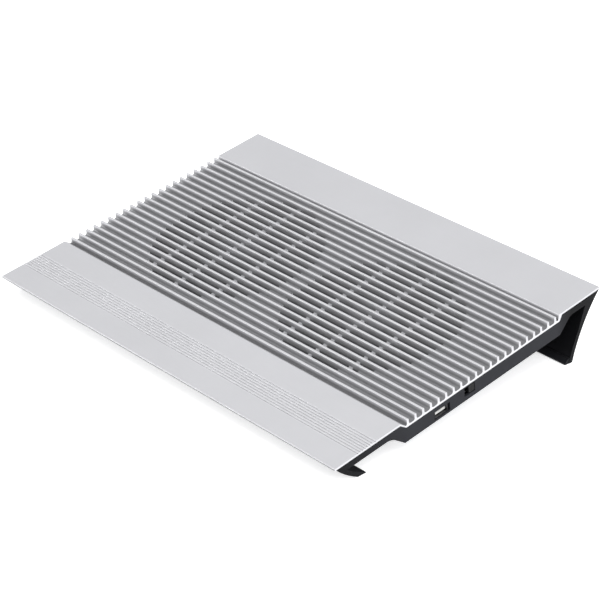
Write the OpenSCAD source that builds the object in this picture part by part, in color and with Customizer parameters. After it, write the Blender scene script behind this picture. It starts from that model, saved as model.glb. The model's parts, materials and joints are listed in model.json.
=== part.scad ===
// Laptop cooling pad: an aluminium top plate on a black tray that holds two slim fans.
// The pad's own plane is drawn first, with Y from the front edge and Z down from the plate's
// top, and the whole pad is then tilted so that it stands on its two foot strips.

/* [Plate] */
// Width of the pad, end to end
pad_w = 380; // [360:2:400]
// Depth of the plate, front edge to rear edge
pad_d = 278; // [276:1:280]
// Thickness of the aluminium
plate_t = 1.6; // [1.4:0.1:1.7]
// Slope of the pad on the desk, in degrees
tilt = 8; // [7.5:0.1:8.5]
// Rear edge of the front strip
front_strip = 63.9; // [63:0.1:64]
// Front edge of the rear strip
rear_strip = 231.8; // [231.2:0.1:232.2]
// Depth of the sunken floor under the plate's top
floor_drop = 4.6; // [4:0.1:4.6]

/* [Fins and grooves] */
// Number of fins
fin_count = 21; // [21:1:21]
// Distance from fin to fin
fin_pitch = 7.8; // [7.7:0.02:7.84]
// Thickness of a fin
fin_t = 2; // [1.6:0.1:2.4]
// Number of fine grooves in the front strip
groove_count = 8; // [4:1:10]
// Distance from groove to groove
groove_pitch = 2.43; // [2:0.01:2.6]
// Depth of a groove
groove_depth = 0.4; // [0.2:0.05:0.6]

/* [Vents] */
// Distance of each fan's axis from the middle of the pad
fan_x = 76; // [75:0.5:77]
// Distance of the fans' axes from the front edge
fan_y = 147.2; // [146.5:0.1:148]
// Radius that the vent slots keep inside
vent_r = 71; // [66:0.5:72]
// Width of a vent slot
slot_w = 5.4; // [4:0.1:5.4]
// Width of the bridges between slots
bridge_w = 3.2; // [2:0.1:4]
// Distance from bridge to bridge
bridge_pitch = 35; // [30:1:40]

/* [Tray] */
// Thickness of the tray's side walls
side_t = 2; // [1.6:0.1:2.4]
// Depth of the belly under the plate's top
belly = 18.5; // [18.5:0.1:19]
// Thickness of the belly's floor
belly_t = 1.4; // [1.2:0.1:1.4]
// Depth of the front slab and of its skin's inner face under the plate's top
slab = 7.3; // [7:0.1:7.5]
// Thickness of the rear leg
leg_t = 3.6; // [3:0.1:4]
// Thickness of the front lip
lip_t = 3.4; // [3:0.1:3.8]
// Height that the foot strips stand out under the plastic
foot_h = 0.6; // [0.5:0.1:0.8]

/* [Fans] */
// Side of a fan's square frame
fan_side = 140; // [138:1:140]
// Thickness of a fan
fan_h = 10.6; // [10.4:0.1:10.6]
// Radius of the duct
duct_r = 66.5; // [66:0.1:67]
// Radius of the impeller's tips
tip_r = 65; // [64:0.1:65.2]
// Number of blades
blade_count = 9; // [7:2:11]
// Distance between screw holes along a side
hole_pitch = 124.5; // [124:0.5:125]

/* [Sockets and switch] */
// Middle of the socket in the right wall, from the front edge
usb_y = 105.2; // [104:0.1:107]
// Middle of the switch window, from the front edge
switch_y = 133.8; // [133:0.1:135]
// Travel of the switch knob
switch_travel = 4.5; // [3:0.1:4.6]
// Middle of the power inlet in the left wall, from the front edge
inlet_y = 108; // [106:0.5:112]

/* [Hidden] */
$fn = 64;
half_w = pad_w/2;
lift = 16.8;
edge = 0.4;
mid_y = (pad_d*cos(tilt) + (plate_t + edge)*sin(tilt))/2;
floor_top = -floor_drop;
floor_under = floor_top - plate_t;
fin_y0 = 71.1;
root_r = 1.4;
groove_y0 = 22.2;
front_step = front_strip + floor_drop + 0.4;
rear_step = rear_strip - 1.4;
under_front = front_step - 5.3;
under_rear = rear_step + 4.4;
belly_in = -belly + belly_t;
slab_in = -slab + 1.6;
wing = -7.6;
wing_in = wing + 1.6;
fan_z = belly_in;
lip_c = [67.65, 51.2];
lip_r = 85;
leg_c = [364.8, -96.3];
leg_r = 129;
big = 400;
eps = 0.01;
guard_r = 64.3;
flange_r = 68.3;
flange_t = 0.7;
hub_r = 22;
hub_wall = 1.2;
cup_r = hub_r - hub_wall;
shaft_r = 1.5;
run_gap = 0.03;
sleeve_r = 3;
holder_r = 4;
plate_z = 9;
front_screw_y = 42;
rear_screw_y = 225;
screw_xs = [-176, -60, 60, 176];
rib_half = 3;
rear_rib = floor_under - 2.4;
board_t = 1.2;
board_z = -11.2;
board_x0 = 151;
board_x1 = 187.2;
board_y0 = 93;
board_y1 = 170;
board_holes = [[155, 97], [155, 166], [183, 166], [183, 119]];
plug_xs = [161, 169];
plug_y = 171.6;
plug_len = 10.2;
inlet_x0 = -187.2;
inlet_x1 = -170;
inlet_holes = [[-174, inlet_y - 8], [-174, inlet_y + 8]];
usb_w = 13.1;
usb_h = 5.7;
usb_len = 14;
tongue_in = 2;
nose_x = half_w - 1.2;
inlet_w = 7.7;
inlet_h = 3.9;
inlet_len = 9.2;
knob_w = 5.6;
knob_h = 5.6;
window_w = 11;
window_h = 7.4;
switch_z = -11.1;
knob_y = switch_y + window_w/2 - knob_w/2 - 0.4;
strip_half = half_w - 1.5;
foot_in = 0.6;
rail_d = 7.6;
rail_y = 236.6;
lip_strip_y0 = 22.4;
lip_strip_y1 = 26.6;
rail_strip_y0 = rail_y + 0.8;
rail_strip_y1 = rail_y + rail_d - 1.2;
lead_d = 1.6;
power_lead_d = 2.6;

// Height of the desk-parallel plane h above the desk, in the pad's own section at y
function desk(y, h) = (h - lift - y*sin(tilt))/cos(tilt);
// Points on an arc about c, from angle a to angle b
function arc(c, r, a, b, n = 8) = [for (i = [0:n]) c + r*[cos(a + (b - a)*i/n), sin(a + (b - a)*i/n)]];
// Half length of the vent row at y
function vent_half(y) = abs(y - fan_y) < vent_r ? sqrt(vent_r*vent_r - (y - fan_y)*(y - fan_y)) : 0;

// Stands the pad on its foot strips, with the origin under the middle of its box
module stand() { translate([0, -mid_y, lift]) rotate([tilt, 0, 0]) children(); }
// Sweeps a side section (Y, Z) along X, between x0 and x1
module along(x0, x1) {
    translate([x0, 0, 0]) rotate([90, 0, 90]) linear_extrude(height = x1 - x0) children();
}
// Puts a part in one fan's own frame: origin on the axis, at the intake face
module at_fan(side) { stand() translate([side*fan_x, fan_y, fan_z]) children(); }
// A tube of n sides swept along a route
module tube(route, d, n = 8) {
    last = len(route) - 1;
    rings = [for (i = [0:last]) let (
        t = route[min(i + 1, last)] - route[max(i - 1, 0)],
        u = t/norm(t),
        s = cross(u, [0.1, 0.2, 1]),
        a = s/norm(s),
        b = cross(u, a))
        [for (k = [0:n - 1]) route[i] + d/2*(cos(360*k/n)*a + sin(360*k/n)*b)]];
    sides = [for (i = [0:last - 1], k = [0:n - 1])
        [i*n + k, (i + 1)*n + k, (i + 1)*n + (k + 1)%n, i*n + (k + 1)%n]];
    caps = [[for (k = [0:n - 1]) k], [for (k = [n - 1:-1:0]) last*n + k]];
    polyhedron(points = [for (r = rings, p = r) p], faces = concat(sides, caps), convexity = 6);
}
// A pan-head screw: head below, shank upwards
module pan_screw(head_r, head_h, shank_r, length) {
    difference() {
        union() {
            cylinder(r = head_r, h = head_h);
            translate([0, 0, head_h - eps]) cylinder(r = shank_r, h = length + eps);
        }
        for (a = [0, 90]) rotate([0, 0, a]) translate([-head_r*0.6, -0.3, -eps])
            cube([head_r*1.2, 0.6, head_h*0.55]);
    }
}

// ---- Aluminium plate ----
// Half of the fillet at a fin's root; s = -1 turns it to the front
module fin_root_2d(s) {
    corner = [[-0.1, -0.1], [root_r, -0.1]];
    curve = arc([root_r, root_r], root_r, 270, 180, 5);
    polygon([for (p = concat(corner, curve, [[-0.1, root_r]])) [s*p[0], p[1]]]);
}
// A fin with a rounded crest and filleted root
module fin_2d() {
    r = 0.4;
    for (s = [-1, 1]) translate([s*fin_t/2, floor_top]) fin_root_2d(s);
    translate([-fin_t/2, floor_top - 0.2]) square([fin_t, floor_drop + 0.2 - r]);
    translate([-fin_t/2 + r, -r - eps]) square([fin_t - 2*r, r + eps]);
    for (s = [-1, 1]) translate([s*(fin_t/2 - r), -r]) circle(r = r);
}
module plate_2d() {
    difference() {
        polygon([[0, -edge], [edge, 0], [front_strip - 0.4, 0], [front_strip + 0.1, -0.2],
            [front_step, floor_top], [rear_step, floor_top],
            [rear_strip - 0.6, -0.8], [rear_strip - 0.3, -0.2], [rear_strip + 0.3, 0],
            [pad_d - edge, 0], [pad_d, -edge], [pad_d, -plate_t],
            [under_rear, -plate_t], [under_rear - 3, floor_under], [under_front + 5.6, floor_under],
            [under_front, -plate_t], [0, -plate_t]]);
        for (i = [0:groove_count - 1]) translate([groove_y0 + i*groove_pitch, 0])
            polygon([[-0.5, 0.1], [-0.25, -groove_depth], [0.25, -groove_depth], [0.5, 0.1]]);
    }
    for (i = [0:fin_count - 1]) translate([fin_y0 + i*fin_pitch, 0]) fin_2d();
}
module slots_2d() {
    for (i = [1:fin_count - 3]) {
        y = fin_y0 + (i + 0.5)*fin_pitch;
        half = vent_half(y);
        for (k = [-2:1]) {
            x0 = max(-half, k*bridge_pitch + bridge_w/2);
            x1 = min(half, (k + 1)*bridge_pitch - bridge_w/2);
            if (x1 - x0 > 4) translate([x0, y - slot_w/2]) square([x1 - x0, slot_w]);
        }
    }
}
module screw_rib_2d(y, low, high) {
    translate([y - rib_half, low]) square([2*rib_half, high - low + eps]);
}
module top_panel() {
    color([0.80, 0.81, 0.83]) stand() difference() {
        union() {
            along(-half_w, half_w) plate_2d();
            along(-half_w + side_t + 1, half_w - side_t - 1) {
                screw_rib_2d(front_screw_y, slab_in, -plate_t);
                screw_rib_2d(rear_screw_y, rear_rib, floor_under);
            }
        }
        for (s = [-1, 1]) translate([s*fan_x, 0, floor_under - 1])
            linear_extrude(height = plate_t + 2) slots_2d();
        for (x = screw_xs) {
            translate([x, front_screw_y, slab_in - 1]) cylinder(r = 1.5, h = 4.6);
            translate([x, rear_screw_y, rear_rib - 1]) cylinder(r = 1.5, h = 4.6);
        }
    }
}

// ---- Tray ----
module above_desk_2d(h) {
    polygon([[-20, desk(-20, h)], [pad_d + 20, desk(pad_d + 20, h)], [pad_d + 20, 20], [-20, 20]]);
}
module lip_2d() {
    intersection() {
        difference() {
            translate(lip_c) circle(r = lip_r, $fn = 200);
            translate(lip_c) circle(r = lip_r - lip_t, $fn = 200);
        }
        translate([0, -30]) square([32, 30 - plate_t]);
        above_desk_2d(foot_h);
    }
    intersection() {
        translate(lip_c) circle(r = lip_r, $fn = 200);
        translate([0, -slab]) square([20, slab - plate_t]);
    }
}
module leg_2d() {
    intersection() {
        difference() {
            translate(leg_c) circle(r = leg_r + leg_t, $fn = 300);
            translate(leg_c) circle(r = leg_r, $fn = 300);
        }
        translate([230, -60]) square([60, 60 - plate_t]);
        above_desk_2d(foot_h);
    }
}
module wing_2d() {
    difference() {
        translate([240, wing]) square([36.6, -wing - plate_t]);
        translate(leg_c) circle(r = leg_r, $fn = 300);
    }
}
// The leg grows thicker where it meets the underside of the wing
module leg_root_2d() {
    difference() {
        polygon([[251.2, -28.4], [261.2, wing + eps], [268, wing + eps]]);
        translate(leg_c) circle(r = leg_r + 1, $fn = 300);
    }
}
module belly_2d() {
    polygon(concat([[18, -plate_t], [18, -slab]],
        arc([49, -slab - 14], 14, 90, 46, 6),
        arc([67.2, -belly + 1], 1, 226, 270, 3),
        arc([231.4, -belly + 1], 1, 270, 315, 3),
        arc([247, wing - 8], 8, 135, 90, 5),
        [[260, wing], [260, -plate_t], [under_rear, -plate_t], [under_rear - 3, floor_under],
        [under_front + 5.6, floor_under], [under_front, -plate_t]]));
}
module hollow_2d() {
    polygon(concat([[9, 1], [9, slab_in]],
        arc([49, -slab - 14], 15.6, 90, 46, 6),
        [[67.8, belly_in], [231.2, belly_in]],
        arc([247, wing - 8], 9.6, 135, 90, 5),
        [[263, wing_in], [267, -plate_t - 1.2], [267, 1]]));
}
module board_posts(holes) {
    for (p = holes) translate([p[0], p[1], belly_in - eps]) difference() {
        cylinder(r = 2.6, h = board_z - belly_in + eps);
        translate([0, 0, 1]) cylinder(r = 1, h = 8);
    }
}
module base_shell() {
    color([0.17, 0.175, 0.19]) stand() difference() {
        union() {
            difference() {
                along(-half_w, half_w) {
                    belly_2d();
                    lip_2d();
                    leg_2d();
                    wing_2d();
                    leg_root_2d();
                }
                along(-half_w + side_t, half_w - side_t) hollow_2d();
            }
            foot_rail();
            for (x = screw_xs) translate([x, rear_screw_y, -belly + 0.2])
                cylinder(r = 4, h = rear_rib + belly - 0.2);
            board_posts(board_holes);
            board_posts(inlet_holes);
        }
        strip_grooves();
        for (x = screw_xs) {
            translate([x, front_screw_y, -slab - 1]) cylinder(r = 1.7, h = 4);
            translate([x, rear_screw_y, -belly - 1]) cylinder(r = 3.2, h = 8);
            translate([x, rear_screw_y, -belly - 1]) cylinder(r = 1.7, h = 12);
        }
        for (s = [-1, 1]) translate([s*fan_x, fan_y, -belly - 1]) {
            cylinder(r = guard_r + 0.2, h = 4, $fn = 128);
            translate([0, 0, 1 + belly_t - flange_t]) cylinder(r = flange_r + 0.2, h = 4, $fn = 128);
            corners() cylinder(r = 2.3, h = 4);
        }
        translate([half_w - 5, usb_y - 8, -16.95]) cube([10, 16, 7.05]);
        translate([half_w - 5, switch_y - window_w/2, switch_z - window_h/2])
            cube([10, window_w, window_h]);
        translate([-half_w - 5, inlet_y - 5, -16.1]) cube([10, 10, 6.2]);
    }
}
module corners() {
    for (a = [-1, 1], b = [-1, 1]) translate([a*hole_pitch/2, b*hole_pitch/2, 0]) children();
}
// The toe along the foot of the leg, flat on its underside to the desk
module foot_rail() {
    along(-half_w + 0.5, half_w - 0.5) polygon([[rail_y, desk(rail_y, foot_h)],
        [rail_y + rail_d - 0.4, desk(rail_y + rail_d - 0.4, foot_h)],
        [rail_y + rail_d, desk(rail_y, foot_h) + 2.6],
        [rail_y + 4.6, desk(rail_y, foot_h) + 4], [rail_y, desk(rail_y, foot_h) + 1]]);
}
module strip_2d(y0, y1, low, high) {
    polygon([[y0, desk(y0, low)], [y1, desk(y1, low)], [y1, desk(y1, high)], [y0, desk(y0, high)]]);
}
module strip_grooves() {
    along(-strip_half, strip_half) {
        strip_2d(lip_strip_y0, lip_strip_y1, -1, foot_h + foot_in);
        strip_2d(rail_strip_y0, rail_strip_y1, -1, foot_h + foot_in);
    }
}
module front_foot_strip() {
    color([0.06, 0.06, 0.07]) stand() along(-strip_half, strip_half)
        strip_2d(lip_strip_y0, lip_strip_y1, 0, foot_h + foot_in);
}
module rear_foot_strip() {
    color([0.06, 0.06, 0.07]) stand() along(-strip_half, strip_half)
        strip_2d(rail_strip_y0, rail_strip_y1, 0, foot_h + foot_in);
}

// ---- Intake guards ----
module guard_2d() {
    circle(r = 13);
    for (i = [0:6]) difference() {
        circle(r = 20.6 + 6.4*i, $fn = 96);
        circle(r = 19 + 6.4*i, $fn = 96);
    }
    difference() {
        circle(r = guard_r, $fn = 128);
        circle(r = guard_r - 2, $fn = 128);
    }
    for (a = [0:60:300]) rotate(a) translate([12, -1.2]) square([guard_r - 13, 2.4]);
}
module intake_guard(side) {
    color([0.12, 0.125, 0.14]) at_fan(side) {
        translate([0, 0, -belly_t]) linear_extrude(height = belly_t - 0.2) guard_2d();
        translate([0, 0, -flange_t]) difference() {
            cylinder(r = flange_r, h = flange_t, $fn = 128);
            translate([0, 0, -1]) cylinder(r = guard_r - 1, h = 3, $fn = 128);
        }
    }
}
module left_intake_guard() { intake_guard(-1); }
module right_intake_guard() { intake_guard(1); }

// ---- Fans ----
module rounded_square_2d(s, r) {
    square([s, s - 2*r], center = true);
    square([s - 2*r, s], center = true);
    for (a = [-1, 1], b = [-1, 1]) translate([a*(s/2 - r), b*(s/2 - r)]) circle(r = r);
}
module fan_frame(side) {
    color([0.09, 0.09, 0.10]) at_fan(side) difference() {
        union() {
            difference() {
                linear_extrude(height = fan_h) rounded_square_2d(fan_side, 5);
                translate([0, 0, -1]) cylinder(r = duct_r, h = fan_h + 2, $fn = 128);
                corner_pockets();
            }
            for (a = [0:90:270]) rotate([0, 0, a]) translate([20, -2, fan_h - 2]) cube([48, 4, 2]);
            translate([0, 0, plate_z]) cylinder(r = 23, h = fan_h - plate_z);
            translate([0, 0, 2.6]) cylinder(r = holder_r, h = plate_z - 2.5);
        }
        translate([0, 0, 2]) cylinder(r = sleeve_r, h = 6.7);
        corners() translate([0, 0, -1]) cylinder(r = 2, h = fan_h + 2);
        translate([2, 64, fan_h - 2.4]) cube([2.8, 8, 4]);
    }
}
module corner_pockets() {
    for (a = [0:90:270]) rotate([0, 0, a]) translate([fan_side/2 - 17, fan_side/2 - 17, 3.4])
        difference() {
            cube([20, 20, fan_h - 6.8]);
            translate([17 - (fan_side - hole_pitch)/2, 17 - (fan_side - hole_pitch)/2, -1])
                cylinder(r = 4.4, h = fan_h);
            translate([17 - fan_side/2, 17 - fan_side/2, -1])
                cylinder(r = duct_r + 2, h = fan_h, $fn = 128);
        }
}
module left_fan_frame() { fan_frame(-1); }
module right_fan_frame() { fan_frame(1); }

// One blade: a cambered strip that runs out along X, its leading edge low
module blade() {
    camber_r = 29.3;
    intersection() {
        difference() {
            cylinder(r = tip_r, h = 9, $fn = 128);
            translate([0, 0, -1]) cylinder(r = cup_r + 0.4, h = 11);
        }
        along(15, tip_r + 2) intersection() {
            difference() {
                translate([-9.3, 30.9]) circle(r = camber_r + 0.6, $fn = 160);
                translate([-9.3, 30.9]) circle(r = camber_r - 0.6, $fn = 160);
            }
            translate([-9.4, 0.9]) square([18.6, 7.2]);
        }
    }
}
module impeller(side) {
    color([0.10, 0.10, 0.11]) at_fan(side) difference() {
        union() {
            translate([0, 0, 0.8]) difference() {
                cylinder(r = hub_r, h = 7.4);
                translate([0, 0, hub_wall]) cylinder(r = cup_r, h = 8);
            }
            for (i = [0:blade_count - 1]) rotate([0, 0, i*360/blade_count]) blade();
        }
        translate([0, 0, 1.2]) cylinder(r = shaft_r, h = 3);
    }
}
module left_impeller() { impeller(-1); }
module right_impeller() { impeller(1); }

module ring(r1, r0, z0, z1) {
    translate([0, 0, z0]) difference() {
        cylinder(r = r1, h = z1 - z0);
        translate([0, 0, -1]) cylinder(r = r0, h = z1 - z0 + 2);
    }
}
module ring_magnet(side) { color([0.22, 0.22, 0.23]) at_fan(side) ring(cup_r, cup_r - 2, 2.2, 7.4); }
module left_ring_magnet() { ring_magnet(-1); }
module right_ring_magnet() { ring_magnet(1); }

module shaft(side) {
    color([0.7, 0.7, 0.72]) at_fan(side) translate([0, 0, 1.2]) cylinder(r = shaft_r, h = 7.2);
}
module left_shaft() { shaft(-1); }
module right_shaft() { shaft(1); }

module bearing_sleeve(side) {
    color([0.72, 0.55, 0.28]) at_fan(side) ring(sleeve_r, shaft_r + run_gap, 2.8, 8.6);
}
module left_bearing_sleeve() { bearing_sleeve(-1); }
module right_bearing_sleeve() { bearing_sleeve(1); }

module stator_core(side) {
    color([0.35, 0.36, 0.38]) at_fan(side)
        translate([0, 0, 3.6]) linear_extrude(height = 3) difference() {
        union() {
            circle(r = 7.6);
            for (a = [0, 90]) rotate(a) square([33, 4], center = true);
            intersection() {
                difference() {
                    circle(r = 17.8, $fn = 96);
                    circle(r = 15.8, $fn = 96);
                }
                for (a = [0, 90]) rotate(a) square([40, 19], center = true);
            }
        }
        circle(r = holder_r);
    }
}
module left_stator_core() { stator_core(-1); }
module right_stator_core() { stator_core(1); }

module windings(side) {
    color([0.72, 0.38, 0.18]) at_fan(side) for (a = [0:90:270]) rotate([0, 0, a]) difference() {
        translate([8.6, -4.2, 2.8]) cube([6.2, 8.4, 4.6]);
        translate([8, -2, 3.6]) cube([8, 4, 3]);
    }
}
module left_windings() { windings(-1); }
module right_windings() { windings(1); }

module motor_board(side) { color([0.05, 0.28, 0.14]) at_fan(side) ring(17, holder_r, 8, plate_z); }
module left_motor_board() { motor_board(-1); }
module right_motor_board() { motor_board(1); }

module hub_label(side) {
    color([0.75, 0.76, 0.78]) at_fan(side) translate([0, 0, fan_h]) cylinder(r = 20, h = 0.1);
}
module left_hub_label() { hub_label(-1); }
module right_hub_label() { hub_label(1); }

// ---- Leads ----
// A fan's lead starts beside the rear strut and leaves through the frame's notch
function fan_lead_start(side) = [for (p = [[3.2, 23.4], [3.2, 34], [3.2, 48], [3.2, 62], [3.4, 70.5]])
    [side*fan_x + p[0], fan_y + p[1], fan_z + fan_h - 1.2]];
module fan_lead(route) { color([0.08, 0.08, 0.09]) stand() tube(route, lead_d); }
module left_fan_lead() {
    fan_lead(concat(fan_lead_start(-1), [[-68, 219.2, -10], [-60, 219.2, -13], [-40, 219.2, -14],
        [0, 219.2, -14], [50, 219.2, -14], [100, 219.2, -14], [138, 219.2, -14], [148, 217, -13.6],
        [152, 208, -12.6], [153.6, 196, -11], [155, 186, -9.4], [158, 179.4, -8.6],
        [160.2, 176, -8.4], [plug_xs[0], 174, -8.4], [plug_xs[0], plug_y, -8.4]]));
}
module right_fan_lead() {
    fan_lead(concat(fan_lead_start(1), [[84, 219.2, -8.8], [92, 219.2, -10], [110, 219.2, -10.6],
        [138, 219.2, -10.6], [150, 217.5, -10.4], [157, 209, -9.8], [161, 196, -9.2], [166, 184, -8.6],
        [168.4, 178, -8.4], [plug_xs[1], 174, -8.4], [plug_xs[1], plug_y, -8.4]]));
}
module power_lead() {
    color([0.08, 0.08, 0.09]) stand() tube([[-173, inlet_y - 1, -8.7], [-166, 106.4, -8.8],
        [-158, 102, -9.8], [-150.4, 90, -12], [-148, 80, -13], [-142, 73.4, -13.4],
        [-130, 71.2, -13.4], [-80, 71, -13.4], [-30, 71, -13.4], [30, 71, -13.4],
        [90, 71, -13.4], [132, 71, -13.4], [144, 73.4, -13],
        [151, 80, -11.6], [155, 86, -9.6], [158.5, 90, -8.6], [161, 95, -8.7]], power_lead_d);
}

// ---- Screws ----
module fan_screws() {
    color([0.13, 0.13, 0.14]) for (s = [-1, 1]) stand() translate([s*fan_x, fan_y, -belly - 1.8])
        corners() pan_screw(3.2, 1.8, 1.95, 8);
}
module panel_screws() {
    color([0.13, 0.13, 0.14]) stand() for (x = screw_xs) {
        translate([x, front_screw_y, -slab - 1.6]) pan_screw(2.8, 1.6, 1.45, 4.4);
        translate([x, rear_screw_y, -belly + 5.4]) pan_screw(2.8, 1.6, 1.45, 5.4);
    }
}
module board_screws() {
    color([0.75, 0.75, 0.76]) stand() for (p = concat(board_holes, inlet_holes))
        translate([p[0], p[1], board_z + board_t + 1.2]) mirror([0, 0, 1]) pan_screw(2, 1.2, 0.95, 4.4);
}

// ---- Boards ----
module board(x0, x1, y0, y1, holes) {
    difference() {
        translate([x0, y0, board_z]) cube([x1 - x0, y1 - y0, board_t]);
        for (p = holes) translate([p[0], p[1], board_z - 1]) cylinder(r = 1.1, h = 4);
    }
}
module hub_board() {
    color([0.06, 0.22, 0.12]) stand() difference() {
        board(board_x0, board_x1, board_y0, board_y1, board_holes);
        translate([179.8, switch_y - 7, board_z - 1]) cube([20, 14, 4]);
    }
}
module inlet_board() {
    color([0.06, 0.22, 0.12]) stand() board(inlet_x0, inlet_x1, inlet_y - 11, inlet_y + 11, inlet_holes);
}
module hub_controller() {
    color([0.07, 0.07, 0.08]) stand() translate([163, 126, board_z + board_t]) cube([7, 7, 1]);
}
module board_capacitors() {
    color([0.68, 0.69, 0.71]) stand() for (y = [104, 143, 152]) translate([165, y, board_z + board_t])
        cylinder(r = 2, h = 3);
}
module lead_headers() {
    color([0.88, 0.87, 0.82]) stand() for (x = plug_xs) translate([x - 3, 160.4, board_z + board_t])
        difference() {
            cube([6, 5.6, 3.2]);
            translate([0.6, 0.8, 0.6]) cube([4.8, 6, 2]);
        }
}
module lead_plugs() {
    color([0.92, 0.91, 0.87]) stand() for (x = plug_xs)
        translate([x - 2.3, plug_y - plug_len, board_z + board_t + 0.7]) cube([4.6, plug_len, 1.8]);
}

// ---- Socket, switch and inlet ----
module box_shell(w, h, length, t) {
    difference() {
        translate([0, -w/2, 0]) cube([length, w, h]);
        translate([t, -w/2 + t, t]) cube([length, w - 2*t, h - 2*t]);
    }
}
module usb_shell() {
    color([0.36, 0.37, 0.39]) stand() translate([nose_x - usb_len, usb_y, board_z - usb_h])
        box_shell(usb_w, usb_h, usb_len, 0.3);
}
module usb_tongue() {
    color([0.95, 0.95, 0.94]) stand()
        translate([nose_x - usb_len + 0.3, usb_y - 5.9, board_z - usb_h + 1])
        cube([usb_len - 0.3 - tongue_in, 11.8, 1.84]);
}
module usb_contacts() {
    color([0.85, 0.68, 0.3]) stand() for (y = [-3.5, -1, 1, 3.5])
        translate([nose_x - usb_len + 3, usb_y + y - 0.5, board_z - usb_h + 2.84]) cube([8.6, 1, 0.12]);
}
module switch_body() {
    color([0.62, 0.63, 0.65]) stand() difference() {
        translate([180.2, switch_y - 6.6, switch_z - 2.8]) cube([6.8, 13.2, 5.6]);
        translate([182, switch_y - 5.8, switch_z - 1.9]) cube([6, 11.6, 3.8]);
    }
}
module switch_knob() {
    color([0.07, 0.07, 0.08]) stand() {
        difference() {
            translate([187.4, knob_y - knob_w/2, switch_z - knob_h/2]) cube([2.2, knob_w, knob_h]);
            for (i = [-1, 0, 1]) translate([189.2, knob_y + i*1.5 - 0.3, switch_z - 2.2])
                cube([1, 0.6, 4.4]);
        }
        translate([182.4, knob_y - 1.2, switch_z - 1.4]) cube([5.2, 2.4, 2.8]);
    }
}
module inlet_shell() {
    color([0.62, 0.63, 0.65]) stand() translate([inlet_len - nose_x, inlet_y, board_z - inlet_h])
        rotate([0, 0, 180]) box_shell(inlet_w, inlet_h, inlet_len, 0.3);
}
module inlet_tongue() {
    color([0.07, 0.07, 0.08]) stand() translate([-nose_x + 0.6, inlet_y - 2.4, board_z - inlet_h + 1.4])
        cube([inlet_len - 0.9, 4.8, 1]);
}

top_panel();
base_shell();
front_foot_strip();
rear_foot_strip();
left_intake_guard();
right_intake_guard();
left_fan_frame();
right_fan_frame();
left_impeller();
right_impeller();
left_ring_magnet();
right_ring_magnet();
left_shaft();
right_shaft();
left_bearing_sleeve();
right_bearing_sleeve();
left_stator_core();
right_stator_core();
left_windings();
right_windings();
left_motor_board();
right_motor_board();
left_hub_label();
right_hub_label();
left_fan_lead();
right_fan_lead();
fan_screws();
panel_screws();
hub_board();
hub_controller();
board_capacitors();
lead_headers();
lead_plugs();
board_screws();
usb_shell();
usb_tongue();
usb_contacts();
switch_body();
switch_knob();
inlet_board();
inlet_shell();
inlet_tongue();
power_lead();
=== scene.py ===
"""Looks of the laptop cooling pad: studio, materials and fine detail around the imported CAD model."""

import json
import math

import bmesh
import bpy
from mathutils import Matrix, Vector


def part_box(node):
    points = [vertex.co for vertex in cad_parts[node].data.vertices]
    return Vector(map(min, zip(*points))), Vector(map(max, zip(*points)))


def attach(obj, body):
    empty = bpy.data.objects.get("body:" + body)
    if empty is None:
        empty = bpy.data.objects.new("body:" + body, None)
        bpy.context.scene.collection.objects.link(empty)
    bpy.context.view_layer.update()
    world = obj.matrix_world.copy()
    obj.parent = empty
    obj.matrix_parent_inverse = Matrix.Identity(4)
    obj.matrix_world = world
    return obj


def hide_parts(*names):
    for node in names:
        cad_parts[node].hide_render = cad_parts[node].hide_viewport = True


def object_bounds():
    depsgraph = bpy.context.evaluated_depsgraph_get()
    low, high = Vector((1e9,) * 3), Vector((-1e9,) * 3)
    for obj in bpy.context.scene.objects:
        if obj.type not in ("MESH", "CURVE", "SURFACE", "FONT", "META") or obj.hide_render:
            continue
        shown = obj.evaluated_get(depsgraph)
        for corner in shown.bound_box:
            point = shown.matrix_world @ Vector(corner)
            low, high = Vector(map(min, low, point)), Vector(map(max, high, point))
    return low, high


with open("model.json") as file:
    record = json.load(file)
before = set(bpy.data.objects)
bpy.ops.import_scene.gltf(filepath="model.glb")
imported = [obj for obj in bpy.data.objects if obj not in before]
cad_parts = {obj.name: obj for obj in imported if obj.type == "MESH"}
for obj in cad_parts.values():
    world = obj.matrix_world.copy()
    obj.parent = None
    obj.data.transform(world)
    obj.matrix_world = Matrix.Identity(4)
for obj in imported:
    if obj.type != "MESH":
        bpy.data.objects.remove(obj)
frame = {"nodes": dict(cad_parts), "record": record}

CAD_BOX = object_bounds()
NODES = frame["nodes"]
SLOT_OF = {part["node"]: part["material_slot"] for part in frame["record"]["subparts"]}
MM = 0.001
TILT = math.radians(8)
SCENE = bpy.context.scene
SIDES = ("left", "right")
PAD_UP = Vector((0, -math.sin(TILT), math.cos(TILT)))
PAD_BACK = Vector((0, math.cos(TILT), math.sin(TILT)))
PLATE_TOP = max(v.co.dot(PAD_UP) for v in NODES["top_panel"].data.vertices)
PLATE_FRONT = min(v.co.dot(PAD_BACK) for v in NODES["top_panel"].data.vertices)


def maths(tree, operation, *values):
    """A Math node over sockets and numbers."""
    made = tree.nodes.new("ShaderNodeMath")
    made.operation = operation
    for value, socket in zip(values, made.inputs):
        if isinstance(value, bpy.types.NodeSocket):
            tree.links.new(value, socket)
        else:
            socket.default_value = value
    return made.outputs[0]


# ---------------------------------------------------------------- studio

CAMERA_AZIMUTH = 46.8
CAMERA_ELEVATION = 28.9
CAMERA_DISTANCE = 1.5774
CAMERA_AIM = Vector((0.0237, -0.0138, 0.0065))
CAMERA_LENS = 124.56
CAMERA_SENSOR = 36
CAMERA_CLIP = 0.05, 60


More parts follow.
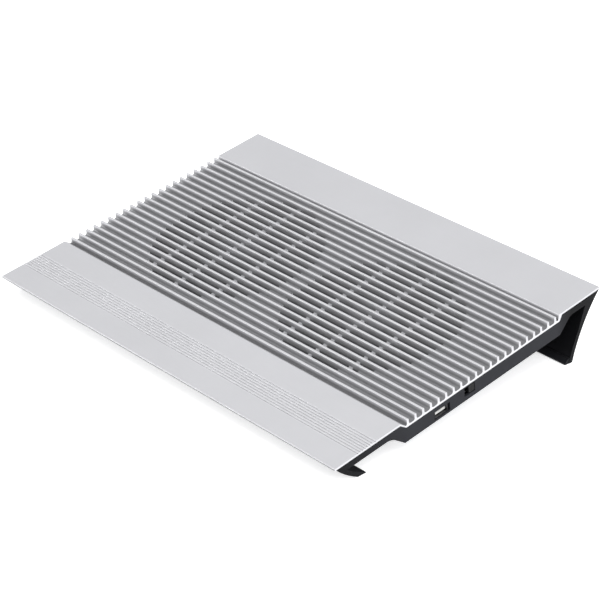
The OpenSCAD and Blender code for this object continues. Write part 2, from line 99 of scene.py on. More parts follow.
def make_camera():
    """A long lens at the photograph's angle, aimed near the middle of the pad."""
    azimuth, elevation = math.radians(CAMERA_AZIMUTH), math.radians(CAMERA_ELEVATION)
    back = Vector((
        math.sin(azimuth) * math.cos(elevation),
        -math.cos(azimuth) * math.cos(elevation),
        math.sin(elevation),
    ))
    camera = bpy.data.objects.new("camera", bpy.data.cameras.new("camera"))
    camera.data.lens = CAMERA_LENS
    camera.data.sensor_width = CAMERA_SENSOR
    camera.data.clip_start, camera.data.clip_end = CAMERA_CLIP
    middle = (CAD_BOX[0] + CAD_BOX[1]) / 2
    camera.location = middle + CAMERA_AIM + back * CAMERA_DISTANCE
    camera.rotation_mode = "QUATERNION"
    camera.rotation_quaternion = (-back).to_track_quat("-Z", "Y")
    SCENE.collection.objects.link(camera)
    SCENE.camera = camera


FLOOR_HALF = 9.0
FLOOR_COLOUR = (0.9, 0.9, 0.905, 1)
FLOOR_LIFT = 0.6
UNDER_FANS_X = 0.125
UNDER_FANS_Y = 0.058
LIFT_FADE = 0.022


def floor_lift(tree, ray, spot):
    """How much the floor glows: FLOOR_LIFT to the camera, 0 under the fans and to every other ray."""
    size = tree.nodes.new("ShaderNodeVectorMath")
    size.operation = "ABSOLUTE"
    tree.links.new(spot.outputs["Position"], size.inputs[0])
    parts = tree.nodes.new("ShaderNodeSeparateXYZ")
    tree.links.new(size.outputs[0], parts.inputs[0])
    edges = []
    for axis, start in (("X", UNDER_FANS_X), ("Y", UNDER_FANS_Y)):
        edge = tree.nodes.new("ShaderNodeMapRange")
        edge.inputs["From Min"].default_value = start
        edge.inputs["From Max"].default_value = start + LIFT_FADE
        tree.links.new(parts.outputs[axis], edge.inputs["Value"])
        edges.append(edge.outputs["Result"])
    lift = maths(tree, "MULTIPLY", ray.outputs["Is Camera Ray"], FLOOR_LIFT)
    return maths(tree, "MULTIPLY", lift, maths(tree, "MAXIMUM", *edges))


def make_floor():
    """A wide pale floor, lifted to near white for the camera except under the fans.
    It is clear from below and to shadow rays, so that under_box can light the underside."""
    mesh = bpy.data.meshes.new("floor")
    half = FLOOR_HALF
    corners = [(-half, -half, 0), (half, -half, 0), (half, half, 0), (-half, half, 0)]
    mesh.from_pydata(corners, [], [(0, 1, 2, 3)])
    floor = bpy.data.objects.new("floor", mesh)
    SCENE.collection.objects.link(floor)
    mat = bpy.data.materials.new("studio_floor")
    mat.use_nodes = True
    tree = mat.node_tree
    shader = tree.nodes["Principled BSDF"]
    shader.inputs["Base Color"].default_value = FLOOR_COLOUR
    shader.inputs["Roughness"].default_value = 0.9
    shader.inputs["Specular IOR Level"].default_value = 0.1
    ray = tree.nodes.new("ShaderNodeLightPath")
    spot = tree.nodes.new("ShaderNodeNewGeometry")
    glow = tree.nodes.new("ShaderNodeEmission")
    tree.links.new(floor_lift(tree, ray, spot), glow.inputs["Strength"])
    lit = tree.nodes.new("ShaderNodeAddShader")
    tree.links.new(shader.outputs[0], lit.inputs[0])
    tree.links.new(glow.outputs[0], lit.inputs[1])
    clear = tree.nodes.new("ShaderNodeBsdfTransparent")
    passing = maths(tree, "MAXIMUM", spot.outputs["Backfacing"], ray.outputs["Is Shadow Ray"])
    mix = tree.nodes.new("ShaderNodeMixShader")
    for socket, place in ((passing, 0), (lit.outputs[0], 1), (clear.outputs[0], 2)):
        tree.links.new(socket, mix.inputs[place])
    tree.links.new(mix.outputs[0], tree.nodes["Material Output"].inputs[0])
    mesh.materials.append(mat)


LIGHT_TARGET = Vector((0, 0, 0.03))
LIGHTS = {
    # name: place, size (both in metres), power in watts
    "front_left_box": ((-1.15, -1.35, 0.42), (0.9, 0.5), 9),
    "right_box": ((1.7, 0.45, 0.6), (1.0, 0.7), 10),
    "under_box": ((-0.35, 0.4, -1.4), (1.4, 1.4), 70),
    "overhead_box": ((0.85, -0.7, 1.75), (1.3, 1.3), 15),
}


def area_light(name, place, size, power):
    """A soft box at place, turned to the pad."""
    data = bpy.data.lights.new(name, "AREA")
    data.shape = "RECTANGLE"
    data.size, data.size_y = size
    data.energy = power
    light = bpy.data.objects.new(name, data)
    light.location = place
    light.rotation_mode = "QUATERNION"
    light.rotation_quaternion = (LIGHT_TARGET - Vector(place)).to_track_quat("-Z", "Y")
    SCENE.collection.objects.link(light)


WORLD_COLOUR = (0.985, 0.99, 1, 1)
WORLD_TOWARDS = Vector((0.25, 0.6, 0.75)).normalized()
WORLD_SPAN = -0.7, 0.8
WORLD_RANGE = 0.55, 1.0
FRONT_TOWARDS = Vector((-0.15, -1, 0.16)).normalized()
FRONT_SPAN = 0.65, 0.97
FRONT_RANGE = 0, 0.7


def make_world():
    """A pale room, brighter behind and above the pad, with a low soft glow from the front."""
    world = bpy.data.worlds.new("studio_world")
    SCENE.world = world
    world.use_nodes = True
    tree = world.node_tree
    sky = tree.nodes["Background"]
    sky.inputs["Color"].default_value = WORLD_COLOUR
    where = tree.nodes.new("ShaderNodeTexCoord").outputs["Generated"]

    def lobe(towards, span, brightness):
        """Brightness that rises over its range as a direction nears towards."""
        dot = tree.nodes.new("ShaderNodeVectorMath")
        dot.operation = "DOT_PRODUCT"
        dot.inputs[1].default_value = towards
        spread = tree.nodes.new("ShaderNodeMapRange")
        spread.interpolation_type = "SMOOTHSTEP"
        for name, value in zip(("From Min", "From Max", "To Min", "To Max"), (*span, *brightness)):
            spread.inputs[name].default_value = value
        tree.links.new(where, dot.inputs[0])
        tree.links.new(dot.outputs["Value"], spread.inputs["Value"])
        return spread.outputs["Result"]

    room = lobe(WORLD_TOWARDS, WORLD_SPAN, WORLD_RANGE)
    glow = lobe(FRONT_TOWARDS, FRONT_SPAN, FRONT_RANGE)
    tree.links.new(maths(tree, "ADD", room, glow), sky.inputs["Strength"])


make_camera()
make_floor()
make_world()
for light_name, light_settings in LIGHTS.items():
    area_light(light_name, *light_settings)
SCENE.view_settings.view_transform = "Standard"


# ---------------------------------------------------------------- materials

ALUMINIUM = (0.605, 0.604, 0.622)
ALUMINIUM_METAL = 0.6
SAWN_DEPTH, SAWN_METAL = (3.9, 4.7), 0.1

# The plate's painted shade and painted highlights by place. Pairs named DEPTH are mm under its top; the
# others are mm behind its front edge.
# A painted tone runs from its factor at the first number to none at the second.
VALLEY_DEPTH, VALLEY_PAINTED_SHADE = (4.6, 0.5), 0.42
GROOVE_DEPTH, GROOVE_FIELD, GROOVE_PAINTED_SHADE = (0.3, 0.08), (48, 50), 0.66
LAND_FRONT, LAND_REAR, LAND_PAINTED_HIGHLIGHT = (21, 20.5), (40.6, 41), 1.06
FRONT_STRIP, REAR_STRIP, STRIP_PAINTED_SHADE = (63, 64), (232, 231.6), 0.94
STEP_DEPTH, STEP_FIELD, STEP_PAINTED_SHADE = (4.2, 2.4), (70.7, 70.9), 0.62

# The bridges between the vent slots, in mm, and the painted highlight on them.
FAN_X, FAN_BACK = 76, 147.2
VENT_REACH = 69
BRIDGE_PITCH = 35
BRIDGE_EDGE = 1.5, 2
BRIDGE_DEPTH, BRIDGE_PAINTED_HIGHLIGHT = (3.6, 4.4), 1.8

CHARCOAL = (0.0235, 0.0242, 0.0285)
# Painted shade on the tray runs from its factor at the first number to none at the second, in mm behind the
# plate's front edge.
TRAY_FRONT, TRAY_REAR, TRAY_PAINTED_SHADE = (10, 75), (245, 228), 0.2
BLACK = (0.006, 0.0061, 0.0068)


class Look:
    """One procedural material: a Principled shader, and short calls that add detail to it."""

    def __init__(self, name, metal=0.0, specular=0.5):
        self.mat = bpy.data.materials.new(name)
        self.mat.use_nodes = True
        self.tree = self.mat.node_tree
        self.shader = self.tree.nodes["Principled BSDF"]
        self.shader.inputs["Metallic"].default_value = metal
        self.shader.inputs["Specular IOR Level"].default_value = specular
        self.place = self.tree.nodes.new("ShaderNodeTexCoord").outputs["Object"]
        self.normal = None

    def node(self, kind, **values):
        """A new node, with its inputs set by name, or linked where the value is a socket."""
        made = self.tree.nodes.new(kind)
        for name, value in values.items():
            socket = made.inputs[name.replace("_", " ")]
            if isinstance(value, bpy.types.NodeSocket):
                self.tree.links.new(value, socket)
            else:
                socket.default_value = value
        return made

    def stretched(self, scale):
        """The piece's own coordinates, turned into the plate's slope and scaled along its axes."""
        flat = self.node("ShaderNodeMapping", Vector=self.place, Rotation=(-TILT, 0, 0))
        return self.node("ShaderNodeMapping", Vector=flat.outputs[0], Scale=scale).outputs[0]

    def along(self, axis, start, end):
        """0 at start and 1 at end, as measured along the axis, in metres."""
        dot = self.node("ShaderNodeVectorMath")
        dot.operation = "DOT_PRODUCT"
        self.tree.links.new(self.place, dot.inputs[0])
        dot.inputs[1].default_value = axis
        return self.spread(dot.outputs["Value"], 0, 1, start, end)

    def height(self, low, high):
        """0 at the depth low under the plate's top, 1 at the depth high (both in mm)."""
        return self.along(PAD_UP, PLATE_TOP - low * MM, PLATE_TOP - high * MM)

    def behind(self, start, end):
        """0 at the distance start behind the plate's front edge, 1 at the distance end (both in mm)."""
        return self.along(PAD_BACK, PLATE_FRONT + start * MM, PLATE_FRONT + end * MM)

    def maths(self, operation, *values):
        """A Math node in this material."""
        return maths(self.tree, operation, *values)

    def bridges(self):
        """1 on the bridges between the vent slots, 0 elsewhere."""
        parts = self.node("ShaderNodeSeparateXYZ", Vector=self.place)
        across = self.maths("SUBTRACT", self.maths("ABSOLUTE", parts.outputs["X"]), FAN_X * MM)
        from_middle = self.maths("PINGPONG", across, BRIDGE_PITCH / 2 * MM)
        reach = VENT_REACH * MM
        back = self.maths("MULTIPLY", self.behind(FAN_BACK, FAN_BACK + VENT_REACH), reach)
        front = self.maths("MULTIPLY", self.behind(FAN_BACK, FAN_BACK - VENT_REACH), reach)
        offset = self.maths("MAXIMUM", back, front)
        across_squared = self.maths("MULTIPLY", across, across)
        offset_squared = self.maths("MULTIPLY", offset, offset)
        from_axis = self.maths("SQRT", self.maths("ADD", across_squared, offset_squared))
        inside = self.spread(from_axis, 1, 0, reach - MM, reach)
        near_middle = self.spread(from_middle, 1, 0, *(edge * MM for edge in BRIDGE_EDGE))
        return self.maths("MULTIPLY", self.maths("MULTIPLY", inside, near_middle), self.height(*BRIDGE_DEPTH))

    def shade(self, value, low):
        """Paints shade (low under 1) or light (low over 1) into the base colour: scales it by low where the
        value is 0, and leaves it where the value is 1.
        """
        before = self.shader.inputs["Base Color"].links[0].from_socket
        scaled = self.node("ShaderNodeVectorMath")
        scaled.operation = "SCALE"
        self.tree.links.new(before, scaled.inputs[0])
        self.tree.links.new(self.spread(value, low, 1, 0, 1), scaled.inputs["Scale"])
        self.tree.links.new(scaled.outputs[0], self.shader.inputs["Base Color"])
        return self

    def facing(self, axis):
        """1 on faces square to the axis, 0 on the others."""
        turned = self.tree.nodes.new("ShaderNodeTexCoord").outputs["Normal"]
        parts = self.node("ShaderNodeSeparateXYZ", Vector=turned)
        return self.spread(self.maths("ABSOLUTE", parts.outputs[axis]), 0, 1, 0.75, 0.9)

    def grain(self, size_mm, detail=3.0, rough=0.55, stretch=(1, 1, 1)):
        """Noise whose features are about size_mm across."""
        made = self.node(
            "ShaderNodeTexNoise", Vector=self.stretched(stretch),
            Scale=1 / (size_mm * MM), Detail=detail, Roughness=rough,
        )
        return made.outputs["Fac"]

    def cells(self, size_mm):
        """Pebbled cells, as a spark-eroded mould leaves them."""
        place = self.stretched((1, 1, 1))
        return self.node("ShaderNodeTexVoronoi", Vector=place, Scale=1 / (size_mm * MM)).outputs["Distance"]

    def spread(self, value, low, high, start=0.3, end=0.7):
        """The value, mapped from start..end to low..high."""
        made = self.node("ShaderNodeMapRange", Value=value)
        made.inputs["From Min"].default_value = start
        made.inputs["From Max"].default_value = end
        made.inputs["To Min"].default_value = low
        made.inputs["To Max"].default_value = high
        return made.outputs["Result"]

    def sum(self, a, b, share=0.5):
        """A mix of two values."""
        made = self.tree.nodes.new("ShaderNodeMix")
        made.inputs[0].default_value = share
        for value, socket in ((a, made.inputs[2]), (b, made.inputs[3])):
            self.tree.links.new(value, socket)
        return made.outputs[0]

    def colour(self, dark, light, value, start=0.3, end=0.7):
        """Base colour that runs from dark to light with the value."""
        ramp = self.tree.nodes.new("ShaderNodeValToRGB")
        ramp.color_ramp.elements[0].position, ramp.color_ramp.elements[1].position = start, end
        ramp.color_ramp.elements[0].color = (*dark, 1)
        ramp.color_ramp.elements[1].color = (*light, 1)
        self.tree.links.new(value, ramp.inputs["Fac"])
        self.tree.links.new(ramp.outputs["Color"], self.shader.inputs["Base Color"])
        return self

    def second_colour(self, dark, light, value, mask):
        """Another range of base colour, where the mask is 1."""
        before = self.shader.inputs["Base Color"].links[0].from_socket
        self.colour(dark, light, value)
        after = self.shader.inputs["Base Color"].links[0].from_socket
        mix = self.tree.nodes.new("ShaderNodeMix")
        mix.data_type = "RGBA"
        for socket, place in ((mask, 0), (before, 6), (after, 7)):
            self.tree.links.new(socket, mix.inputs[place])
        self.tree.links.new(mix.outputs[2], self.shader.inputs["Base Color"])
        return self

    def rough(self, low, high, value, start=0.3, end=0.7):
        """Roughness that runs from low to high with the value."""
        self.tree.links.new(self.spread(value, low, high, start, end), self.shader.inputs["Roughness"])
        return self

    def bump(self, value, depth_mm, strength=0.5):
        """Relief of that depth, on top of any relief before it."""
        made = self.node("ShaderNodeBump", Height=value, Strength=strength, Distance=depth_mm * MM)
        if self.normal:
            self.tree.links.new(self.normal, made.inputs["Normal"])
        self.normal = made.outputs["Normal"]
        self.tree.links.new(self.normal, self.shader.inputs["Normal"])
        return self


def tint(colour, by):
    """The colour made lighter or darker."""
    return tuple(min(1.0, c * by) for c in colour)


def blasted_metal(name, colour, low, high):
    """Fine-blasted, anodised extrusion: a satin grain with faint die lines along X, and sawn ends.
    Its base colour also holds painted shade deep in the valleys, in the grooves, the first step and on the
    flat strips, and painted highlights on the lands and the vent bridges."""
    look = Look(name, metal=ALUMINIUM_METAL)
    cloud = look.grain(60, detail=4)
    lines = look.grain(0.5, detail=3, rough=0.6, stretch=(0.012, 1, 1))
    speck = look.grain(0.25, detail=2, rough=0.7)
    look.colour(tint(colour, 0.95), tint(colour, 1.04), look.sum(cloud, look.sum(lines, speck, 0.5), 0.5))
    # Masks for painted shade and painted highlights, standing in for how light falls into the valleys,
    # grooves and step.
    grooves = look.maths("MAXIMUM", look.height(*GROOVE_DEPTH), look.behind(*GROOVE_FIELD))
    land = look.maths("MAXIMUM", look.behind(*LAND_FRONT), look.behind(*LAND_REAR))
    strips = look.maths("MINIMUM", look.behind(*FRONT_STRIP), look.behind(*REAR_STRIP))
    step = look.maths("MAXIMUM", look.height(*STEP_DEPTH), look.behind(*STEP_FIELD))
    look.shade(look.height(*VALLEY_DEPTH), VALLEY_PAINTED_SHADE)
    look.shade(grooves, GROOVE_PAINTED_SHADE)
    look.shade(land, LAND_PAINTED_HIGHLIGHT)
    look.shade(strips, STRIP_PAINTED_SHADE)
    look.shade(step, STEP_PAINTED_SHADE)
    # Painted highlight on the bridges between the vent slots.
    look.shade(look.maths("SUBTRACT", 1, look.bridges()), BRIDGE_PAINTED_HIGHLIGHT)
    ends = look.facing("X")
    look.second_colour(tint(colour, 1.1), tint(colour, 1.25), speck, ends)
    slot_ends = look.maths("MULTIPLY", ends, look.height(*SAWN_DEPTH))
    metal = look.spread(slot_ends, ALUMINIUM_METAL, SAWN_METAL, 0, 1)
    look.tree.links.new(metal, look.shader.inputs["Metallic"])
    look.rough(low, high, look.sum(speck, lines, 0.4))
    look.bump(speck, 0.02, 0.35)
    look.bump(lines, 0.012, 0.3)
    return look.mat


def moulded_look(name, colour, low, high, pebble=0.55, depth=0.03, mottle=35, specular=0.4):
    """Moulded plastic with a spark-eroded texture and a faint bloom of handling."""
    look = Look(name, specular=specular)
    cloud = look.grain(mottle, detail=5, rough=0.6)
    fine = look.grain(pebble * 0.6, detail=2)
    cells = look.cells(pebble)
    look.colour(tint(colour, 0.86), tint(colour, 1.14), look.sum(cloud, fine, 0.35))
    look.rough(low, high, look.sum(cloud, cells, 0.45))
    look.bump(cells, depth, 0.35)
    look.bump(fine, depth * 0.5, 0.3)
    return look


def moulded(*settings, **more):
    """The material of moulded_look."""
    return moulded_look(*settings, **more).mat


def tray(colour):
    """The tray's moulded plastic, with painted shade that darkens it towards the front lip and the rear leg.
    """
    look = moulded_look("tray_plastic", colour, 0.42, 0.56, specular=0.1)
    look.shade(look.behind(*TRAY_FRONT), TRAY_PAINTED_SHADE)
    look.shade(look.behind(*TRAY_REAR), TRAY_PAINTED_SHADE)
    return look.mat


def worn_edge(name, colour, rough_low, rough_high, metal=0.0):
    """The rubbed edge of a piece: a little lighter and smoother, and patchy."""
    look = Look(name, metal=metal)
    rub = look.grain(3.0, detail=5, rough=0.7)
    look.colour(tint(colour, 0.85), tint(colour, 1.2), rub)
    look.rough(rough_low, rough_high, rub)
    look.bump(look.grain(0.3, detail=2), 0.01, 0.3)
    return look.mat


def plain_metal(name, colour, low, high, line_mm=0.35, stretch=(1, 1, 1)):
    """Plated or drawn metal with fine lines and slight tarnish."""
    look = Look(name, metal=1.0)
    tarnish = look.grain(4.0, detail=5, rough=0.65)
    lines = look.grain(line_mm, detail=2, stretch=stretch)
    look.colour(tint(colour, 0.84), tint(colour, 1.06), look.sum(tarnish, lines, 0.3))
    look.rough(low, high, look.sum(tarnish, lines, 0.5))
    look.bump(lines, 0.008, 0.35)
    return look.mat


def rubber(name):
    """Matt black rubber, dusty in its pores."""
    look = Look(name, specular=0.25)
    dust = look.grain(2.2, detail=6, rough=0.7)
    pores = look.cells(0.4)
    look.colour((0.010, 0.010, 0.011), (0.024, 0.024, 0.025), dust)
    look.rough(0.7, 0.95, dust)
    look.bump(pores, 0.05, 0.5)
    return look.mat


def circuit_board(name):
    """Green solder mask over copper tracks that show as a lighter relief."""
    look = Look(name, specular=0.6)
    tracks = look.node(
        "ShaderNodeTexBrick", Vector=look.stretched((1, 1, 1)),
        Scale=180, Mortar_Size=0.06, Brick_Width=1.7, Row_Height=0.31,
    )
    tracks.offset = 0.37
    weave = look.grain(0.6, detail=2)
    look.colour((0.010, 0.060, 0.022), (0.022, 0.115, 0.045), look.sum(tracks.outputs["Fac"], weave, 0.3))
    look.rough(0.28, 0.45, weave)
    look.bump(tracks.outputs["Fac"], 0.035, 0.5)
    return look.mat


def laminated(name):
    """Stacked steel sheets, seen edge on as lines half a millimetre apart."""
    look = Look(name, metal=1.0)
    sheets = look.node("ShaderNodeTexWave", Vector=look.stretched((0, 0, 1)), Scale=320, Distortion=0.2)
    sheets.bands_direction = "Z"
    rust = look.grain(1.5, detail=5)
    look.colour((0.16, 0.16, 0.17), (0.40, 0.40, 0.41), look.sum(sheets.outputs["Fac"], rust, 0.4))
    look.rough(0.35, 0.6, rust)
    look.bump(sheets.outputs["Fac"], 0.04, 0.6)
    return look.mat


def foil(name):
    """Silver label film, slightly crinkled where it is stuck down."""
    look = Look(name, metal=1.0)
    crinkle = look.grain(7, detail=3)
    speck = look.grain(0.3, detail=2)
    look.colour((0.40, 0.41, 0.42), (0.50, 0.51, 0.52), look.sum(crinkle, speck, 0.4))
    look.rough(0.32, 0.5, look.sum(crinkle, speck, 0.5))
    look.bump(crinkle, 0.05, 0.35)
    return look.mat


FINISHES = {
    "plate_aluminium": blasted_metal("plate_aluminium", ALUMINIUM, 0.46, 0.56),
    "tray_plastic": tray(CHARCOAL),
    "foot_rubber": rubber("foot_rubber"),
    "guard_plastic": moulded("guard_plastic", BLACK, 0.40, 0.55, pebble=0.45),
    "fan_frame_plastic": moulded("fan_frame_plastic", BLACK, 0.36, 0.50, pebble=0.4),
    "impeller_plastic": moulded("impeller_plastic", tint(BLACK, 1.2), 0.26, 0.40, pebble=0.7, depth=0.012),
    "magnet_ferrite": moulded("magnet_ferrite", (0.035, 0.034, 0.034), 0.5, 0.7, pebble=0.3),
    "shaft_steel": plain_metal("shaft_steel", (0.66, 0.66, 0.67), 0.14, 0.26, stretch=(1, 1, 0.05)),
    "sleeve_bronze": plain_metal("sleeve_bronze", (0.60, 0.42, 0.20), 0.34, 0.5),
    "core_steel": laminated("core_steel"),
    "winding_copper": plain_metal("winding_copper", (0.62, 0.24, 0.10), 0.20, 0.34),
    "circuit_board": circuit_board("circuit_board"),
    "label_film": foil("label_film"),
    "lead_insulation": moulded("lead_insulation", tint(BLACK, 1.3), 0.34, 0.46, pebble=0.5, depth=0.012),
    "screw_black": plain_metal("screw_black", (0.075, 0.075, 0.08), 0.30, 0.46),
    "screw_zinc": plain_metal("screw_zinc", (0.60, 0.61, 0.62), 0.22, 0.38),
    "chip_epoxy": moulded("chip_epoxy", (0.018, 0.018, 0.019), 0.45, 0.6, pebble=0.2, depth=0.01),
    "capacitor_can": plain_metal("capacitor_can", (0.64, 0.65, 0.66), 0.18, 0.30, stretch=(1, 1, 0.1)),
    "connector_nylon": moulded("connector_nylon", (0.66, 0.64, 0.55), 0.36, 0.5, pebble=0.5, depth=0.012),
    # socket_steel is darkened to near black: painted shade inside the port openings.
    "socket_steel": plain_metal("socket_steel", (0.11, 0.11, 0.115), 0.30, 0.46, stretch=(0.1, 1, 1)),
    "tongue_white": moulded("tongue_white", (0.86, 0.86, 0.84), 0.34, 0.46, pebble=0.5, depth=0.008),
    "contact_gold": plain_metal("contact_gold", (0.78, 0.56, 0.22), 0.20, 0.32, stretch=(0.1, 1, 1)),
    # switch_steel is darkened: painted shade, so that the switch window reads dark.
    "switch_steel": plain_metal("switch_steel", (0.15, 0.15, 0.155), 0.24, 0.38),
    "knob_plastic": moulded("knob_plastic", BLACK, 0.34, 0.48, pebble=0.4, depth=0.015),
}
EDGES = {
    "plate_aluminium": worn_edge("cut_aluminium", (0.80, 0.80, 0.81), 0.26, 0.42, metal=1.0),
    "tray_plastic": worn_edge("rubbed_tray", tint(CHARCOAL, 0.7), 0.34, 0.5),
    "guard_plastic": worn_edge("rubbed_guard", tint(BLACK, 1.8), 0.34, 0.5),
    "fan_frame_plastic": worn_edge("rubbed_frame", tint(BLACK, 1.7), 0.32, 0.46),
}


SLOTTED_DEPTH = 3 * MM
WELD_WITHIN = 0.002 * MM
FLAT_WITHIN = math.radians(0.3)
SHARP_FROM = math.radians(30)
BEVEL_SEGMENTS = 2
SHADE_WEIGHT = 60


def hold_slotted_faces(mesh):
    """Marks seams across the faces that the vent slots pierce, so that they aren't joined into one."""
    def is_level(face):
        depth = PLATE_TOP - mesh.vertices[face.vertices[0]].co.dot(PAD_UP)
        return abs(face.normal.dot(PAD_UP)) > 0.999 and depth > SLOTTED_DEPTH

    level = {face.index for face in mesh.polygons if is_level(face)}
    beside = {}
    for face in mesh.polygons:
        for key in face.edge_keys:
            beside.setdefault(key, []).append(face.index)
    for edge in mesh.edges:
        edge.use_seam = all(i in level for i in beside[edge.key])


def soften(node, width_mm):
    """Rounds a CAD node's sharp edges a little. Its bevels take the rubbed finish where it has one."""
    part = NODES[node]
    slot = SLOT_OF[node]
    for held in part.material_slots:
        held.material = FINISHES[slot]
    if slot in EDGES:
        part.data.materials.append(EDGES[slot])
    weld = part.modifiers.new("weld", "WELD")
    weld.merge_threshold = WELD_WITHIN
    flats = part.modifiers.new("flats", "DECIMATE")
    flats.decimate_type = "DISSOLVE"
    flats.angle_limit = FLAT_WITHIN
    flats.delimit = {"SEAM"}
    bevel = part.modifiers.new("edges", "BEVEL")
    bevel.width = width_mm * MM
    bevel.segments = BEVEL_SEGMENTS
    bevel.angle_limit = SHARP_FROM
    bevel.miter_outer = "MITER_ARC"
    if slot in EDGES:
        bevel.material = 1
    shade = part.modifiers.new("shade", "WEIGHTED_NORMAL")
    shade.weight = SHADE_WEIGHT


EDGE_WIDTH = {
    "top_panel": 0.16, "base_shell": 0.3, "front_foot_strip": 0.3, "rear_foot_strip": 0.3,
    "fan_screws": 0.12, "panel_screws": 0.12, "board_screws": 0.08, "switch_knob": 0.3,
    "usb_shell": 0.06, "usb_tongue": 0.1, "usb_contacts": 0.04, "inlet_shell": 0.06, "inlet_tongue": 0.08,
    "switch_body": 0.15, "hub_controller": 0.1, "board_capacitors": 0.25, "lead_headers": 0.12,
    "lead_plugs": 0.15, "hub_board": 0.1, "inlet_board": 0.1, "power_lead": 0.1,
}
SIDE_EDGE_WIDTH = {
    "intake_guard": 0.3, "fan_frame": 0.25, "impeller": 0.2, "ring_magnet": 0.15, "shaft": 0.15,
    "bearing_sleeve": 0.1, "stator_core": 0.08, "windings": 0.4, "motor_board": 0.1, "hub_label": 0.03,
    "fan_lead": 0.1,
}


def dress_nodes():
    """Gives every CAD node its finish and its softened edges."""
    hold_slotted_faces(NODES["top_panel"].data)
    for node, width in EDGE_WIDTH.items():
        soften(node, width)
    for side in SIDES:
        for kind, width in SIDE_EDGE_WIDTH.items():
            soften(f"{side}_{kind}", width)


dress_nodes()


# ---------------------------------------------------------------- impellers

HUB_RADIUS = 22 * MM
TIP_RADIUS = 64.8 * MM
BLADE_COUNT = 9
BLADE_LOW, BLADE_HIGH = 1.25 * MM, 7.75 * MM
BLADE_SWEEP = math.radians(16)
BLADE_ROOT = 0.6 * MM
CHORD_HUB, CHORD_GAIN = 17, 11
THICK_HUB, THICK_LOSS = 1.5, 0.6
DROP_LOSS = 0.22
CAMBER_LINE, CAMBER_CURVE = 0.72, 0.28
STATIONS = 12
CHORD_STEPS = 14
CHORD_CROWD = 1.4
SHAFT_MIDDLE = 4.8 * MM
SHARP_PIECE = math.radians(35)
TURNED_STEPS = 96


def smooth(t):
    """Eases t from 0 to 1."""
    return t * t * (3 - 2 * t)


def blade_ring(station):
    """One section of a blade: an aerofoil wrapped round the axis, the same at each blade."""
    share = station / STATIONS
    radius = HUB_RADIUS - BLADE_ROOT + share * (TIP_RADIUS - HUB_RADIUS + BLADE_ROOT)
    chord = (CHORD_HUB + CHORD_GAIN * share) * MM
    thickness = (THICK_HUB - THICK_LOSS * share) * MM
    lead = BLADE_SWEEP * smooth(share)
    drop = (BLADE_HIGH - BLADE_LOW) * (1 - DROP_LOSS * share)

    def surface(along, side):
        """A point on the blade's upper (side 1) or lower (side -1) face, 0..1 along its chord."""
        camber = BLADE_LOW + drop * (CAMBER_LINE * along + CAMBER_CURVE * along * along)
        fat = thickness * (2.3 * math.sqrt(along) * (1 - along) ** 0.8 + 0.28) / 1.25
        across = (along - 0.5) * chord
        slope = math.atan2(drop, chord)
        turn = (across - side * fat / 2 * math.sin(slope)) / radius - lead
        return Vector((
            radius * math.cos(turn),
            radius * math.sin(turn),
            camber + side * fat / 2 * math.cos(slope),
        ))

    steps = [(i / CHORD_STEPS) ** CHORD_CROWD for i in range(CHORD_STEPS + 1)]
    return [surface(t, 1) for t in steps] + [surface(t, -1) for t in reversed(steps)]


def add_blade(mesh, turn):
    """A closed blade, from inside the hub's wall out to its tip."""
    spin = Matrix.Rotation(turn, 3, "Z")
    rings = [[mesh.verts.new(spin @ p) for p in blade_ring(i)] for i in range(STATIONS + 1)]
    count = len(rings[0])
    for inner, outer in zip(rings, rings[1:]):
        for k in range(count):
            n = (k + 1) % count
            mesh.faces.new((inner[k], outer[k], outer[n], inner[n]))
    mesh.faces.new(rings[0])
    mesh.faces.new(reversed(rings[-1]))


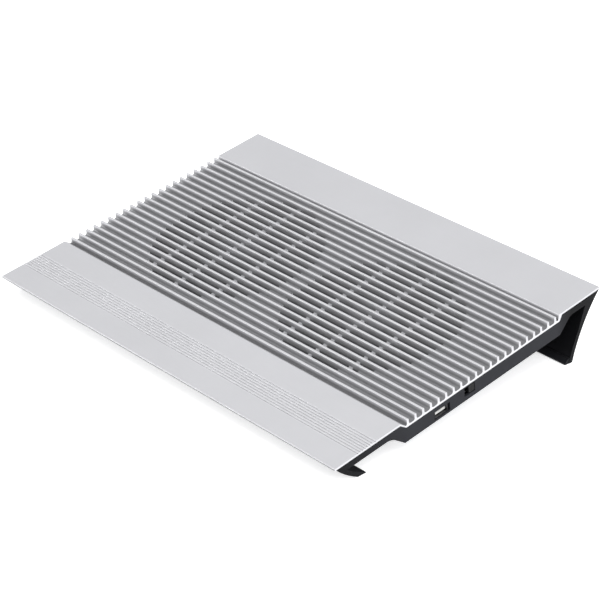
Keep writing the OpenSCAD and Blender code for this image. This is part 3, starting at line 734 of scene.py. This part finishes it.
def add_turned(mesh, outline):
    """A ring turned about Z from a closed outline of (radius, height) points, in mm."""
    steps = TURNED_STEPS
    rings = [[mesh.verts.new((
        radius * MM * math.cos(math.tau * i / steps),
        radius * MM * math.sin(math.tau * i / steps),
        height * MM,
    )) for i in range(steps)] for radius, height in outline]
    for lower, upper in zip(rings, rings[1:] + rings[:1]):
        for i in range(steps):
            n = (i + 1) % steps
            mesh.faces.new((lower[i], lower[n], upper[n], upper[i]))


def rounded(cx, cz, radius, start, end, steps=5):
    """Points of an arc in an outline, in mm and degrees."""
    return [(
        cx + radius * math.cos(math.radians(start + (end - start) * i / steps)),
        cz + radius * math.sin(math.radians(start + (end - start) * i / steps)),
    ) for i in range(steps + 1)]


def hub_outline():
    """The hub's cup: closed and softly rounded on the intake side, open towards the motor."""
    return ([(1.56, 1.2), (1.56, 0.95), (8.2, 0.95), (8.6, 1.15), (9.4, 1.15), (9.8, 0.8)]
            + rounded(20.6, 2.2, 1.4, -90, 0)
            + rounded(21.7, 7.9, 0.3, 0, 90, 3) + rounded(21.15, 7.9, 0.3, 90, 180, 3)
            + [(20.85, 2.05), (4.2, 2.05), (3.9, 2.4), (1.56, 2.4)])


def finished_piece(name, mesh, slot, body, node, place):
    """Turns a bmesh into a named piece that rides a body and replaces a CAD node."""
    bmesh.ops.recalc_face_normals(mesh, faces=mesh.faces)
    data = bpy.data.meshes.new(name)
    mesh.to_mesh(data)
    mesh.free()
    data.transform(place)
    for face in data.polygons:
        face.use_smooth = True
    data.set_sharp_from_angle(angle=SHARP_PIECE)
    data.materials.append(FINISHES[slot])
    piece = bpy.data.objects.new(name, data)
    SCENE.collection.objects.link(piece)
    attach(piece, body)
    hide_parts(node)


def fan_place(side):
    """The fan's own frame in the world: its axis through the shaft, z = 0 at the intake face."""
    low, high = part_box(f"{side}_shaft")
    lean = Matrix.Rotation(TILT, 4, "X")
    middle = (Vector(low) + Vector(high)) / 2
    return Matrix.Translation(middle) @ lean @ Matrix.Translation((0, 0, -SHAFT_MIDDLE))


def make_impellers():
    """Swept aerofoil blades on a rounded hub, in place of each plain CAD impeller."""
    for side in SIDES:
        mesh = bmesh.new()
        add_turned(mesh, hub_outline())
        for i in range(BLADE_COUNT):
            add_blade(mesh, math.tau * i / BLADE_COUNT)
        finished_piece(
            f"{side}_impeller_swept", mesh, "impeller_plastic",
            f"{side}_rotor", f"{side}_impeller", fan_place(side),
        )


make_impellers()
